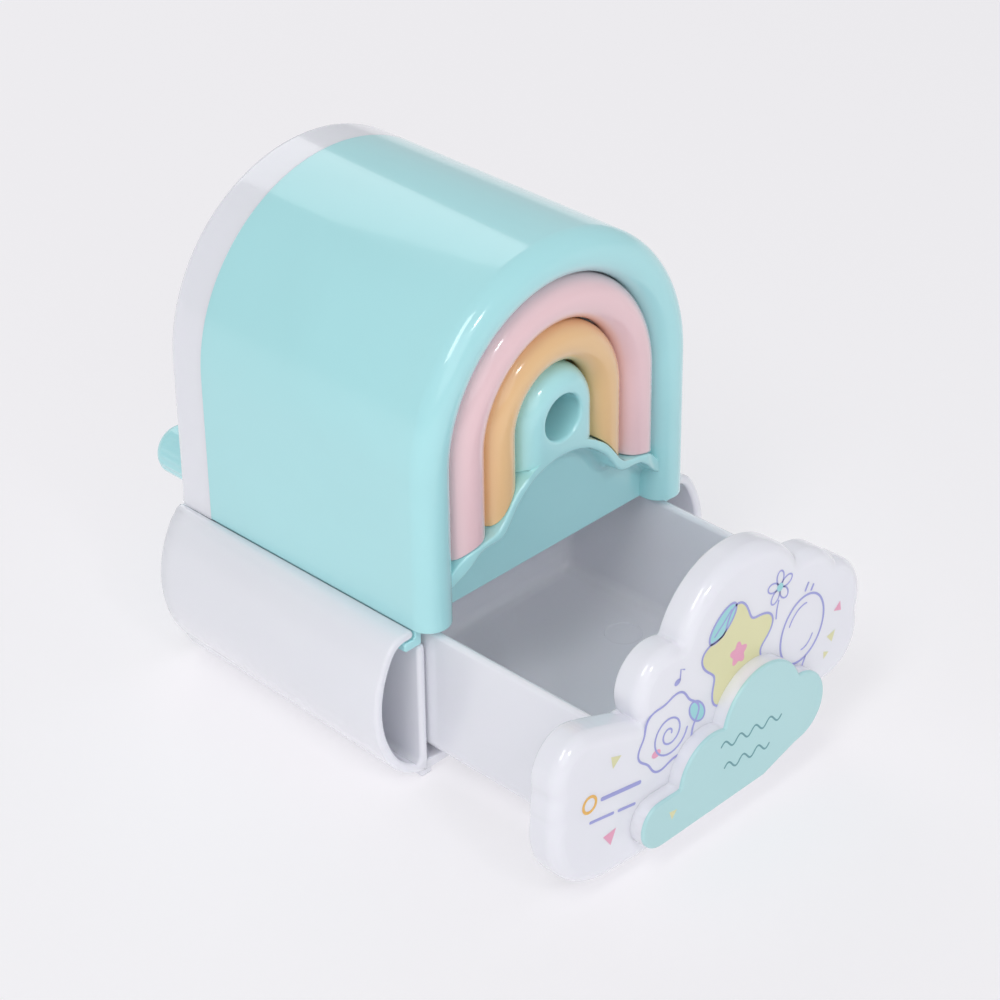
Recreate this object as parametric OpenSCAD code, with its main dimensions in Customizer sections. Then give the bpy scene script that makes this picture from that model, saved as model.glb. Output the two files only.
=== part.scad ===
// Desk pencil sharpener: arch housing on a two-wing base, shavings drawer
// with a cloud front, crank at the back. Millimetres, +Z up, the pencil goes
// in along +Y. X = 0 is the middle, Z = 0 the table, Y = 0 the middle of the base.

/* [Housing] */
// half the width of the arch housing
half_w = 33; // [28:0.5:40]
// height of the arch centre above the table
arch_z = 61; // [50:0.5:75]
// height of the housing's underside above the table
house_z = 32; // [26:0.5:40]
// wall of the housing
wall = 2.2; // [1.5:0.1:3]
// y of the front crests of the rolled arches
front_y = -34; // [-40:0.5:-28]
// y where the mint shell meets the rear cover
seam_y = 21.2; // [10:0.1:26]
// y of the back of the rear cover
rear_y = 29.9; // [24:0.1:36]
// rounding of the rear cover's back edge
rear_r = 2.2; // [1:0.1:4]

/* [Arches] */
// outer radius of the middle arch, which is the rim's inner radius
r_rim = 25; // [20:0.1:30]
// radius between the outer and the inner trim arch
r_mid = 16.7; // [12:0.1:20]
// radius of the nose that holds the pencil hole
r_nose = 9; // [7:0.1:12]
// gap left round each trim arch
trim_gap = 0.15; // [0.05:0.05:0.5]
// rounding of the nose's front edge
nose_round = 3.4; // [1:0.1:4]

/* [Pencil] */
// radius of the pencil hole
r_hole = 4.3; // [4:0.05:5]
// radius of the hole's rounded mouth
r_mouth = 4.9; // [4.5:0.05:6]

/* [Wave panel] */
// radius of the middle hump of the wave
wave_r = 16.2; // [12:0.1:20]
// height of the middle hump's centre above the table
wave_z = 38.5; // [34:0.1:44]
// radius of each side hump
side_r = 6.3; // [4:0.1:9]
// distance of each side hump's centre from the middle
side_x = 19.3; // [15:0.1:22]
// height of the side humps' centres above the table
side_z = 38.6; // [34:0.1:44]
// width of the raised lip that follows the wave
lip_w = 1.6; // [1:0.1:3]
// y of the sunk face of the wave panel
panel_y = -29.15; // [-32:0.05:-27]

/* [Base] */
// half the width of the base over the wings, at the front
base_half = 42; // [38:0.5:50]
// y of the front of the base
base_front = -30; // [-34:0.5:-26]
// y of the back of the base
base_back = 29.9; // [24:0.1:36]
// wall of the wings
wing_wall = 1.8; // [1.2:0.1:3]
// turn of each wing inwards towards the back, in degrees
wing_turn = 2.6; // [0:0.1:5]
// inner face of each inner wall, from the middle
tunnel_half = 30; // [26:0.1:34]
// height of the top of the inner walls
inner_top = 28; // [24:0.1:31]
// top of the bottom plate
plate_top = 3.4; // [2.4:0.1:5]

/* [Drawer] */
// half the outer width of the tray
tray_half = 29.5; // [25:0.1:33]
// wall of the tray
tray_wall = 1.7; // [1.2:0.1:2.5]
// underside of the tray above the table
tray_low = 5; // [4:0.1:8]
// top edge of the tray above the table
tray_top = 30.4; // [24:0.1:31]
// y of the back of the tray as it stands open
tray_back = -7; // [-20:0.5:10]
// y of the back face of the cloud front as it stands open
cloud_y = -68.1; // [-80:0.1:-50]
// thickness of the cloud front
cloud_t = 6; // [4:0.1:8]
// bevel of the cloud front's edge
cloud_bevel = 1.6; // [0.5:0.1:2.5]
// height of the raised badge on the cloud front
badge_t = 3; // [1:0.1:5]

/* [Crank] */
// distance of the knob from the crank axis
crank_r = 37.1; // [30:0.1:42]
// direction of the crank arm seen from the front, 0 is +X and 90 is up
crank_deg = 243.8; // [0:0.1:360]
// radius of the knob
knob_r = 4.95; // [4:0.05:8]
// y of the knob's rear end
knob_back = 52; // [45:0.5:60]
// thickness of the crank arm
arm_t = 3.6; // [2.5:0.1:5]

/* [Cutter] */
// radius of the helical cutter
cutter_r = 4.8; // [4:0.1:6]
// half angle of the pencil point, in degrees
cone_deg = 11; // [8:0.5:14]
// gear module
gear_m = 0.8; // [0.6:0.1:1.2]
// teeth on the cutter's pinion
pinion_n = 12; // [10:1:16]
// teeth on the fixed ring gear
ring_n = 36; // [30:1:48]
// y of the middle of the gear mesh
mesh_y = -17; // [-20:0.5:-14]

/* [Hidden] */

mint = [0.66, 0.87, 0.88];
pink = [0.90, 0.75, 0.78];
apricot = [0.89, 0.74, 0.53];
white = [0.90, 0.90, 0.94];
steel = [0.72, 0.73, 0.75];
zinc = [0.62, 0.63, 0.65];
brass = [0.78, 0.66, 0.36];
nylon = [0.86, 0.86, 0.84];

roll_r = (half_w - r_rim) / 2;
rim_mid = (half_w + r_rim) / 2;
roll_y = front_y + roll_r;
bulk_y = -27.2;
bulk_t = 2;
boss_x = 27.6;
boss_spots = [[boss_x, 41], [-boss_x, 41], [21, 79], [-21, 79]];
panel_screws = [[-17, 36], [17, 36]];
mesh_d = gear_m * (ring_n - pinion_n) / 2;
cone_tan = tan(cone_deg);
apex_y = mesh_y + (mesh_d - cutter_r / cos(cone_deg)) / cone_tan;
wide_y = mesh_y + (mesh_d - (4 + cutter_r) / cos(cone_deg)) / cone_tan;
tip_y = apex_y - 2.6;
knob_x = crank_r * cos(crank_deg);
knob_z = arch_z + crank_r * sin(crank_deg);
arm_y = rear_y + 0.7;
q = 72;

// cloud front lobes: x, height above the table, radius
cloud_lobes = [[-31, 16.5, 13.7], [-36.8, 26.9, 7.4], [-17.4, 33.4, 7.4],
               [1.4, 34.5, 16.5], [16.5, 32, 11.1], [23.5, 28.5, 9.6],
               [24, 22.4, 8.9], [8.8, 10.4, 8.2], [-22, 12.2, 10]];
// badge lobes: x, height above the table, radius
badge_lobes = [[3.2, 19, 10], [12.6, 15.4, 6.9], [-9.5, 13.7, 8],
               [-22.2, 10.2, 4.6]];

// turn a shape drawn in x, z into one that runs along +Y from y0 to y1
module along(y0, y1) {
  translate([0, y1, 0]) rotate([90, 0, 0]) linear_extrude(y1 - y0) children();
}

// a round bar along +Y at x, z from y0 to y1
module rod(x, z, r, y0, y1) {
  translate([x, y1, z]) rotate([90, 0, 0]) cylinder(h = y1 - y0, r = r, $fn = q);
}

// a cone along +Y, radius ra at y0 and rb at y1
module taper(x, z, ra, rb, y0, y1) {
  translate([x, y1, z]) rotate([90, 0, 0])
    cylinder(h = y1 - y0, r1 = rb, r2 = ra, $fn = q);
}

// arch outline: half circle on straight legs down to zb
module arch2d(r, zb) {
  intersection() {
    translate([0, arch_z]) circle(r, $fn = 144);
    translate([-r, arch_z - 0.01]) square([2 * r, r + 1]);
  }
  translate([-r, zb]) square([2 * r, arch_z - zb]);
}

// sweep a section, drawn as radius and y, round the arch and down both legs
module arch_sweep(zb) {
  translate([0, 0, arch_z]) rotate([90, 0, 0]) rotate_extrude(angle = 180, $fn = 144)
    mirror([0, 1]) children();
  translate([0, 0, zb]) linear_extrude(arch_z - zb) children();
  translate([0, 0, zb]) linear_extrude(arch_z - zb) mirror([1, 0]) children();
}

// section of a rolled arch: half round in front, flat at the back
module roll2d(ra, rb, yc, yb) {
  intersection() {
    translate([(ra + rb) / 2, yc]) circle((rb - ra) / 2, $fn = 48);
    translate([ra, yc - 10]) square([rb - ra, 10]);
  }
  translate([ra, yc - 0.01]) square([rb - ra, yb - yc + 0.01]);
}

// the wave's outline, made smaller by e
module wave2d(e) {
  intersection() {
    union() {
      translate([0, wave_z]) circle(wave_r - e, $fn = 96);
      translate([side_x, side_z]) circle(side_r - e, $fn = 64);
      translate([-side_x, side_z]) circle(side_r - e, $fn = 64);
      translate([-r_rim, house_z]) square([2 * r_rim, side_z - house_z]);
    }
    translate([-r_rim + trim_gap, house_z]) square([2 * r_rim - 2 * trim_gap, 40]);
  }
}

// outer outline of a wing: a big bulge with a small top and a big bottom round
function arc(cx, cz, r, a0, a1, n) =
  [for (i = [0:n]) [cx + r * cos(a0 + (a1 - a0) * i / n), cz + r * sin(a0 + (a1 - a0) * i / n)]];

module wing2d(e) {
  bx = base_half - 22;
  polygon(concat([[28, 1.2 + e]], arc(28.66, 13.2, 12 - e, -90, -30, 10),
    arc(bx, 18.2, 22 - e, -30, 31, 12), arc(34.5, 27, 5 - e, 31, 90, 8), [[28, 32 - e]]));
}

// one wing, hollow, open at the front, leaning inwards towards the back
module wing() {
  difference() {
    intersection() {
      translate([base_half, base_front, 0]) rotate([0, 0, wing_turn])
        translate([-base_half, 0, 0]) along(-3, 66) wing2d(0);
      translate([tunnel_half + 0.2, base_front, 0]) cube([20, base_back - base_front, 40]);
    }
    intersection() {
      translate([base_half, base_front, 0]) rotate([0, 0, wing_turn])
        translate([-base_half, 0, 0]) along(-5, 66) wing2d(wing_wall);
      translate([tunnel_half + 1.7, base_front - 1, 0])
        cube([20, base_back - wing_wall - base_front + 1, 40]);
    }
    // room for the housing's rail between the lip and the inner wall
    translate([tunnel_half - 1, base_front - 1, inner_top]) cube([3.6, 80, 8]);
    translate([tunnel_half - 1, base_front - 1, inner_top]) cube([6, 59, 32 - wing_wall - inner_top]);
  }
}

module base_tray() color(white) {
  wing();
  mirror([1, 0, 0]) wing();
  // bottom plate
  translate([-31, base_front, 1.4]) cube([62, base_back - base_front, plate_top - 1.4]);
  // inner walls with a rounded top
  for (s = [-1, 1]) {
    translate([s * (tunnel_half + 0.85) - 0.85, base_front, 2])
      cube([1.7, base_back - base_front, inner_top - 0.85 - 2]);
    rod(s * (tunnel_half + 0.85), inner_top - 0.85, 0.85, base_front, base_back);
    // skid ribs underneath
    translate([s * 30.05 - 1.25, base_front, 0]) cube([2.5, base_back - base_front, 2]);
    // runners that carry the drawer
    translate([s * 25 - 1, base_front + 1, plate_top - 0.5])
      cube([2, 56, tray_low - 0.05 - plate_top + 0.5]);
  }
  // middle skid rib
  translate([-1.25, base_front + 6, 0]) cube([2.5, base_back - base_front - 12, 2]);
  // back wall of the drawer tunnel
  translate([-31.5, base_back - wing_wall, 2]) cube([63, wing_wall, 29.8]);
  // stop for the back of the drawer
  for (s = [-1, 1]) translate([s * 12 - 2, base_back - wing_wall - 1, 12]) cube([4, 1.5, 6]);
}

module housing_shell() color(mint) {
  difference() {
    union() {
      // shell
      difference() {
        along(roll_y, seam_y) arch2d(half_w, house_z);
        along(bulk_y + bulk_t, seam_y + 1) arch2d(half_w - wall, house_z - 1);
        along(roll_y - 1, bulk_y) arch2d(r_rim, house_z - 1);
      }
      // rolled rim
      arch_sweep(house_z) roll2d(r_rim, half_w, roll_y, bulk_y);
      // bosses for the rear cover's screws
      for (p = boss_spots) rod(p[0], p[1], 3.4, 6, seam_y);
      // rails that hook under the base's lips
      for (s = [-1, 1]) {
        translate([s * 31.6 - 0.7, base_front, 28.4]) cube([1.4, seam_y - base_front, 4]);
        translate([s * 32.9 - 2, base_front, 28.4]) cube([4, seam_y - base_front, 1.6]);
      }
      // gussets between bulkhead and roof
      for (s = [-1, 0, 1]) translate([s * 12 - 0.7, bulk_y + 1, 80]) cube([1.4, 6, 14 - 5 * abs(s)]);
    }
    // opening for the nose and the bearing
    rod(0, arch_z, 9.6, -40, 0);
    // holes for the fascia's posts
    for (p = panel_screws) rod(p[0], p[1], 2.75, bulk_y - 1, bulk_y + bulk_t + 1);
    // pilot holes
    for (p = boss_spots) rod(p[0], p[1], 1.2, 8, seam_y + 1);
  }
}

module outer_trim_arch() color(pink) difference() {
  arch_sweep(house_z + 1)
    roll2d(r_mid + trim_gap, r_rim - trim_gap, roll_y + 0.15, bulk_y - 0.1);
  along(front_y - 2, bulk_y + 1) wave2d(-0.3);
}

module inner_trim_arch() color(apricot) difference() {
  arch_sweep(house_z + 1)
    roll2d(r_nose + 0.35, r_mid - trim_gap, roll_y - 0.1, bulk_y - 0.1);
  along(front_y - 2, bulk_y + 1) wave2d(-0.3);
}

// section of the nose: rounded front edge, radius and y
module nose2d() {
  translate([0, front_y + nose_round]) square([r_nose, -27.3 - front_y - nose_round]);
  translate([0, front_y]) square([r_nose - nose_round, 6]);
  translate([r_nose - nose_round, front_y + nose_round]) circle(nose_round, $fn = 48);
}

module wave_fascia() color(mint) difference() {
  union() {
    // nose
    difference() {
      intersection() {
        arch_sweep(wave_z) nose2d();
        translate([-20, front_y, 0]) cube([40, 6.7, 120]);
      }
      along(front_y - 1, 0) wave2d(0.5);
    }
    // raised lip along the wave
    difference() {
      along(front_y + 0.2, bulk_y - 0.1) wave2d(0);
      along(front_y - 1, panel_y - 2.5) wave2d(lip_w);
      along(front_y - 1, panel_y - 0.8) wave2d(lip_w + 1);
      along(front_y - 1, panel_y) wave2d(lip_w + 2.2);
    }
    // posts behind the panel
    for (p = panel_screws) rod(p[0], p[1], 2.6, bulk_y - 0.5, bulk_y + bulk_t - 0.1);
    // bearing seat behind the nose
    rod(0, arch_z, 9.4, -28, bulk_y + bulk_t);
  }
  rod(0, arch_z, r_hole, -40, 0);
  taper(0, arch_z, r_mouth, r_hole, front_y - 0.01, front_y + 0.8);
  // seat for the guide bush
  rod(0, arch_z, 7.4, bulk_y + bulk_t - 1, 0);
  for (p = panel_screws) rod(p[0], p[1], 1.2, panel_y + 0.6, 0);
}

module fascia_screws() color(steel) for (p = panel_screws) {
  rod(p[0], p[1], 1.15, panel_y + 1, bulk_y + bulk_t + 0.2);
  difference() {
    rod(p[0], p[1], 3.6, bulk_y + bulk_t, bulk_y + bulk_t + 1.6);
    translate([p[0] - 0.4, bulk_y + bulk_t + 0.8, p[1] - 2.2]) cube([0.8, 1, 4.4]);
    translate([p[0] - 2.2, bulk_y + bulk_t + 0.8, p[1] - 0.4]) cube([4.4, 1, 0.8]);
  }
}

// section of the rear cover: radius and y
module cover2d() {
  difference() {
    union() {
      translate([0, seam_y]) square([half_w, rear_y - rear_r - seam_y]);
      translate([0, seam_y]) square([half_w - rear_r, rear_y - seam_y]);
      translate([half_w - rear_r, rear_y - rear_r]) circle(rear_r, $fn = 48);
    }
    translate([-1, seam_y - 1]) square([half_w - wall + 1, rear_y - 2 - seam_y + 1]);
  }
}

module rear_cover() color(white) difference() {
  union() {
    arch_sweep(house_z) cover2d();
    for (p = boss_spots) rod(p[0], p[1], 3.9, seam_y, rear_y - 1);
    rod(0, arch_z, 8, seam_y + 1, rear_y - 1);
    // ribs on the inside
    for (s = [-1, 1]) translate([s * 13 - 0.7, seam_y + 3, house_z]) cube([1.4, 5, 24]);
  }
  rod(0, arch_z, 5, 0, 40);
  for (p = boss_spots) {
    rod(p[0], p[1], 1.6, 0, 40);
    rod(p[0], p[1], 2.9, seam_y + 2.2, 40);
  }
}

module cover_screws() color(steel) for (p = boss_spots) difference() {
  union() {
    rod(p[0], p[1], 1.15, 10, seam_y + 3);
    rod(p[0], p[1], 2.6, seam_y + 2.2, seam_y + 4);
  }
  translate([p[0] - 0.35, seam_y + 3, p[1] - 1.7]) cube([0.7, 2, 3.4]);
  translate([p[0] - 1.7, seam_y + 3, p[1] - 0.35]) cube([3.4, 2, 0.7]);
}

module guide_bush() color(nylon) difference() {
  union() {
    rod(0, arch_z, 7.4, bulk_y + bulk_t - 1, bulk_y + bulk_t + 0.2);
    rod(0, arch_z, 8, bulk_y + bulk_t, bulk_y + bulk_t + 3);
  }
  rod(0, arch_z, 6.05, -40, 0);
}

// one gear tooth, drawn outwards from the root
module tooth(ra, rb, wa, wb) {
  polygon([[ra, -wa / 2], [rb, -wb / 2], [rb, wb / 2], [ra, wa / 2]]);
}

module gear_ring() color(nylon) {
  rp = gear_m * ring_n / 2;
  // cup that stands on the bulkhead
  difference() {
    rod(0, arch_z, rp + 3.8, bulk_y + bulk_t, mesh_y + 2.2);
    rod(0, arch_z, rp + 1.5, bulk_y + bulk_t + 1.6, mesh_y + 3);
    rod(0, arch_z, 9.5, -40, 0);
  }
  // teeth point inwards
  translate([0, mesh_y + 2.2, arch_z]) rotate([90, 0, 0]) linear_extrude(4.4)
    for (i = [0:ring_n - 1]) rotate(i * 360 / ring_n)
      tooth(rp - 0.55, rp + 1.9, 0.62, 1.45);
}

module rear_bush() color(brass) difference() {
  union() {
    rod(0, arch_z, 5, seam_y + 1, rear_y);
    rod(0, arch_z, 6.6, seam_y, seam_y + 1);
  }
  rod(0, arch_z, 3.05, 0, 40);
}

// place things drawn along +Z on the cutter's leaning axis, 0 at the mesh
module on_cutter() {
  translate([0, mesh_y, arch_z + mesh_d]) rotate([-90 - cone_deg, 0, 0]) children();
}

module cutter_carrier() color(zinc) difference() {
  union() {
    // front journal, turns in the guide bush
    rod(0, arch_z, 6, bulk_y + bulk_t, mesh_y - 4);
    // front plate
    rod(0, arch_z, 13.4, mesh_y - 4.4, mesh_y - 2.4);
    // trough that carries the point
    intersection() {
      rod(0, arch_z, 9.4, mesh_y - 3, 11);
      translate([-20, -40, arch_z - 20]) cube([40, 80, 21.1]);
    }
    // rear plate that holds the far end of the axle
    rod(0, arch_z, 9.4, 9.4, 12.6);
    // rear hub
    rod(0, arch_z, 6, 12, 19.6);
  }
  // pencil passage and point
  translate([0, 0, arch_z]) rotate([90, 0, 0]) rotate_extrude($fn = q) mirror([0, 1])
    polygon([[0, -40], [r_hole, -40], [r_hole, wide_y], [1.2, tip_y], [1.2, 8.4], [0, 8.4]]);
  // room for the cutter and pinion
  on_cutter() translate([0, 0, 2.2]) cylinder(h = 24.2, r = cutter_r + 0.6, $fn = q);
  on_cutter() translate([0, 0, -2.3]) cylinder(h = 4.8, r = gear_m * pinion_n / 2 + 1.2, $fn = q);
  // axle bores
  on_cutter() translate([0, 0, -8]) cylinder(h = 38, r = 1.55, $fn = 48);
  // shaft seat
  rod(0, arch_z, 3, 13.6, 40);
  // grub screw
  translate([0, 16.6, arch_z]) cylinder(h = 10, r = 1.3, $fn = 32);
  // side windows that let the shavings out
  for (s = [-1, 1]) translate([s * 6.5 - 5, -8, arch_z - 3.6]) cube([10, 12, 2.8]);
}

module carrier_screw() color(steel) difference() {
  translate([0, 16.6, arch_z + 3]) cylinder(h = 3, r = 1.25, $fn = 32);
  translate([0, 16.6, arch_z + 5]) cylinder(h = 2, r = 0.7, $fn = 6);
}

module drive_shaft() color(steel) difference() {
  rod(0, arch_z, 3, 13.6, arm_y + arm_t - 0.2);
  rod(0, arch_z, 1.25, 24, 40);
}

module crank_arm() color(mint) difference() {
  union() {
    rod(0, arch_z, 7, arm_y, arm_y + arm_t + 0.8);
    rod(knob_x, knob_z, 5, arm_y, arm_y + arm_t);
    // tapered bar between hub and knob
    translate([0, arm_y + arm_t, arch_z]) rotate([90, 0, 0]) rotate(crank_deg)
      linear_extrude(arm_t - 0.4)
        polygon([[1, -6.2], [crank_r, -4.6], [crank_r, 4.6], [1, 6.2]]);
  }
  rod(0, arch_z, 3, 0, arm_y + arm_t - 0.2);
  rod(0, arch_z, 1.5, 0, 60);
  rod(knob_x, knob_z, 1.8, 0, 60);
  // shallow recess along the arm
  translate([0, arm_y + arm_t + 0.01, arch_z]) rotate([90, 0, 0]) rotate(crank_deg)
    linear_extrude(0.8) polygon([[10, -3.2], [crank_r - 7.5, -2.4], [crank_r - 7.5, 2.4], [10, 3.2]]);
}

module crank_screw() color(steel) difference() {
  union() {
    rod(0, arch_z, 1.2, 26, arm_y + arm_t + 1);
    taper(0, arch_z, 3.4, 2.4, arm_y + arm_t + 0.8, arm_y + arm_t + 2.4);
  }
  translate([-0.4, arm_y + arm_t + 1.5, arch_z - 2]) cube([0.8, 2, 4]);
  translate([-2, arm_y + arm_t + 1.5, arch_z - 0.4]) cube([4, 2, 0.8]);
}

module knob_pin() color(steel) {
  rod(knob_x, knob_z, 1.8, arm_y + 0.2, knob_back - 4.6);
}

module crank_knob() color(mint) difference() {
  union() {
    translate([knob_x, knob_back, knob_z]) rotate([90, 0, 0]) rotate_extrude($fn = 96)
      union() {
        translate([0, 0]) square([knob_r - 2.6, knob_back - arm_y - arm_t - 0.5]);
        translate([0, 2.6]) square([knob_r, knob_back - arm_y - arm_t - 0.5 - 3.4]);
        translate([knob_r - 2.6, 2.6]) intersection() {
          circle(2.6, $fn = 64);
          translate([0, -5]) square([5, 5.01]);
        }
        translate([0, knob_back - arm_y - arm_t - 1.35]) square([knob_r - 0.4, 0.85]);
      }
  }
  rod(knob_x, knob_z, 1.85, 0, knob_back - 4.4);
}

module helical_cutter() color(steel) on_cutter() difference() {
  union() {
    translate([0, 0, 2.8]) cylinder(h = 23, r = cutter_r - 0.75, $fn = 48);
    translate([0, 0, 3]) linear_extrude(22.6, twist = -120, slices = 12)
      for (i = [0:8]) rotate(i * 40)
        polygon([[cutter_r - 1.2, -0.75], [cutter_r - 0.05, -0.18], [cutter_r, 0.18],
                 [cutter_r - 1.2, 0.5]]);
  }
  translate([0, 0, 0]) cylinder(h = 40, r = 1.6, $fn = 32);
}

module cutter_pinion() color(brass) on_cutter() difference() {
  rp = gear_m * pinion_n / 2;
  translate([0, 0, -1.6]) union() {
    cylinder(h = 3.2, r = rp - 0.95, $fn = 48);
    linear_extrude(3.2) for (i = [0:pinion_n - 1]) rotate(90 + 15 + i * 360 / pinion_n)
      tooth(rp - 1.2, rp + 0.5, 1.35, 0.62);
    cylinder(h = 4.3, r = 2.6, $fn = 48);
  }
  translate([0, 0, -3]) cylinder(h = 8, r = 1.5, $fn = 48);
}

module cutter_axle() color(steel) on_cutter() {
  translate([0, 0, -6]) cylinder(h = 35.8, r = 1.5, $fn = 48);
}

module axle_clip() color(steel) on_cutter() difference() {
  translate([0, 0, -5.7]) cylinder(h = 0.6, r = 2.3, $fn = 48);
  translate([0, 0, -7]) cylinder(h = 3, r = 1.5, $fn = 48);
}

// tray outline seen from above, made smaller by e
module tray_plan(e) {
  r = 3.2 - e * 0.5;
  translate([-tray_half + e, cloud_y - 1.6 + e]) square([2 * (tray_half - e), 20]);
  translate([-tray_half + e + r, cloud_y + 5])
    square([2 * (tray_half - e - r), tray_back - cloud_y - 5 - e]);
  translate([-tray_half + e, cloud_y + 5])
    square([2 * (tray_half - e), tray_back - cloud_y - 5 - e - r]);
  for (s = [-1, 1]) translate([s * (tray_half - e - r), tray_back - e - r]) circle(r, $fn = 48);
}

// tray outline seen from the front, made smaller by e, with round lower corners
module tray_front(e, zt) {
  r = 2.4;
  w = tray_half - e;
  zb = tray_low + e * 0.9;
  translate([-w, zb + r]) square([2 * w, zt - zb - r]);
  translate([-w + r, zb]) square([2 * (w - r), zt - zb]);
  for (s = [-1, 1]) translate([s * (w - r), zb + r]) circle(r, $fn = 48);
}

module drawer_tray() color(white) difference() {
  intersection() {
    along(-80, 10) tray_front(0, tray_top);
    linear_extrude(60) tray_plan(0);
    translate([-40, cloud_y - 1.6, 0]) cube([80, 80, 60]);
  }
  intersection() {
    along(cloud_y, tray_back - tray_wall) tray_front(tray_wall, tray_top + 1);
    linear_extrude(60) tray_plan(tray_wall);
  }
  // the front wall's top stays under the cloud's edge
  translate([-40, cloud_y - 2, 29]) cube([80, 2, 5]);
  // moulding marks in the floor
  for (s = [-1, 1]) for (dy = [23, 36.6])
    translate([s * 18.5, cloud_y + dy, tray_low + 1.25]) cylinder(h = 2, r = 3.6, $fn = 48);
  // screw holes for the cloud front
  for (s = [-1, 1]) rod(s * 14, 13, 1.4, cloud_y - 3, cloud_y + 1);
}

// slab made of lobes, with a bevelled front edge
module lobe_slab(lobes, y0, y1, bev) {
  for (l = lobes) {
    rod(l[0], l[1], l[2], y0 + bev, y1);
    if (bev > 0) taper(l[0], l[1], l[2] - bev, l[2], y0, y0 + bev);
  }
}

module cloud_front() color(white) difference() {
  union() {
    lobe_slab(cloud_lobes, cloud_y - cloud_t, cloud_y, cloud_bevel);
    // body between the lobes
    along(cloud_y - cloud_t + cloud_bevel, cloud_y)
      polygon([[-22, 2.2], [8.8, 2.2], [14.6, 4.6], [24, 22], [20, 30], [-20, 34], [-30, 28]]);
    along(cloud_y - cloud_t, cloud_y)
      polygon([[-22, 3.8], [8.8, 3.8], [13.4, 5.7], [22, 22], [20, 30], [-20, 33], [-30, 27]]);
  }
  // seat for the tray's front wall
  intersection() {
    along(cloud_y - 1.6, cloud_y + 1) tray_front(-0.05, 29.05);
    translate([-40, -100, 0]) cube([80, 100, 60]);
  }
  for (s = [-1, 1]) rod(s * 14, 13, 1.1, cloud_y - 5, cloud_y + 1);
}

module front_screws() color(steel) for (s = [-1, 1]) difference() {
  union() {
    rod(s * 14, 13, 1.05, cloud_y - 4.6, cloud_y + 0.5);
    rod(s * 14, 13, 2.6, cloud_y + 0.1, cloud_y + 1.6);
  }
  translate([s * 14 - 0.35, cloud_y + 0.8, 11.3]) cube([0.7, 2, 3.4]);
  translate([s * 14 - 1.7, cloud_y + 0.8, 12.65]) cube([3.4, 2, 0.7]);
}

module badge_slab(y0, y1) {
  lobe_slab(badge_lobes, y0, y1, 0);
  along(y0, y1) polygon([[-22.2, 5.6], [4, 5.9], [12.6, 8.5], [14, 20], [-8, 18], [-22, 12]]);
}

module cloud_badge() color(white)
  badge_slab(cloud_y - cloud_t - badge_t + 0.6, cloud_y - cloud_t);

module badge_face() color(mint)
  badge_slab(cloud_y - cloud_t - badge_t, cloud_y - cloud_t - badge_t + 0.6);

base_tray();
housing_shell();
outer_trim_arch();
inner_trim_arch();
wave_fascia();
fascia_screws();
rear_cover();
cover_screws();
guide_bush();
gear_ring();
rear_bush();
cutter_carrier();
drive_shaft();
crank_arm();
crank_screw();
knob_pin();
crank_knob();
helical_cutter();
cutter_pinion();
cutter_axle();
axle_clip();
drawer_tray();
cloud_front();
cloud_badge();
badge_face();
front_screws();
carrier_screw();
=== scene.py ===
import math

import bmesh
import bpy
from mathutils import Matrix, Vector
from mathutils.geometry import delaunay_2d_cdt


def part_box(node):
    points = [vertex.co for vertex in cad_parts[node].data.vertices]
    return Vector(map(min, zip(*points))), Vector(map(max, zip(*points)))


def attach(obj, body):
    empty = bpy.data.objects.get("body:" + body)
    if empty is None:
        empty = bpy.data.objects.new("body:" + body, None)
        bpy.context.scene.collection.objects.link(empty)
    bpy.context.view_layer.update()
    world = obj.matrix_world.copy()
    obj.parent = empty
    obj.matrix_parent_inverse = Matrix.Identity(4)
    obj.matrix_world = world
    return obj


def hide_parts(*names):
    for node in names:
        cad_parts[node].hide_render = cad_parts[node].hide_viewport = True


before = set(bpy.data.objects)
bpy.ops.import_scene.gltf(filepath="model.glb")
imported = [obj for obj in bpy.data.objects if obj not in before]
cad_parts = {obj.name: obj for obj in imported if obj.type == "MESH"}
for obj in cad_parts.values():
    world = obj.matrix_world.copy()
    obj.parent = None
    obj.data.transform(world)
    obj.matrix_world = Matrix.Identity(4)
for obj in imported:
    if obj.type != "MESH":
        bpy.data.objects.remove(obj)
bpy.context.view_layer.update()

MM = 0.001


def box_mm(node):
    low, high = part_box(node)
    return low / MM, high / MM


# ---- sizes, in millimetres
COVER_LO, COVER_HI = box_mm("rear_cover")
SHELL_LO = box_mm("housing_shell")[0]
BASE_LO, BASE_HI = box_mm("base_tray")
TRAY_LO, TRAY_HI = box_mm("drawer_tray")
CLOUD_LO, CLOUD_HI = box_mm("cloud_front")
BADGE_HI = box_mm("cloud_badge")[1]
FACE_LO, FACE_HI = box_mm("badge_face")
KNOB_LO, KNOB_HI = box_mm("crank_knob")
ARM_LO = box_mm("crank_arm")[0]
BUSH_HI = box_mm("rear_bush")[1]

# the housing: half its width, the arch's centre, its foot, the seam with the cover, back and front
HALF_W = COVER_HI.x
ARCH_Z = COVER_HI.z - HALF_W
HOUSE_Z = COVER_LO.z
SEAM_Y = COVER_LO.y
REAR_Y = COVER_HI.y
FRONT_Y = SHELL_LO.y
WALL = 2.2
# where the round of the front rim begins
ROLL_Y = FRONT_Y + 4
# radii of the front: inside of the rim, joint of the two trims, nose, pencil hole, bulkhead's opening
R_RIM = 25.0
R_MID = 16.7
R_NOSE = 9.0
R_HOLE = 4.3
R_OPENING = 9.6
# places along Y: flat panel, back of the trims, back of the rim, bulkhead's faces, end of the bore
PANEL_Y = -29.15
TRIM_BACK = -27.3
RIM_BACK = -27.2
BULK_FRONT = -27.1
BULK_BACK = -25.2
BORE_END = -24.0
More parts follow.
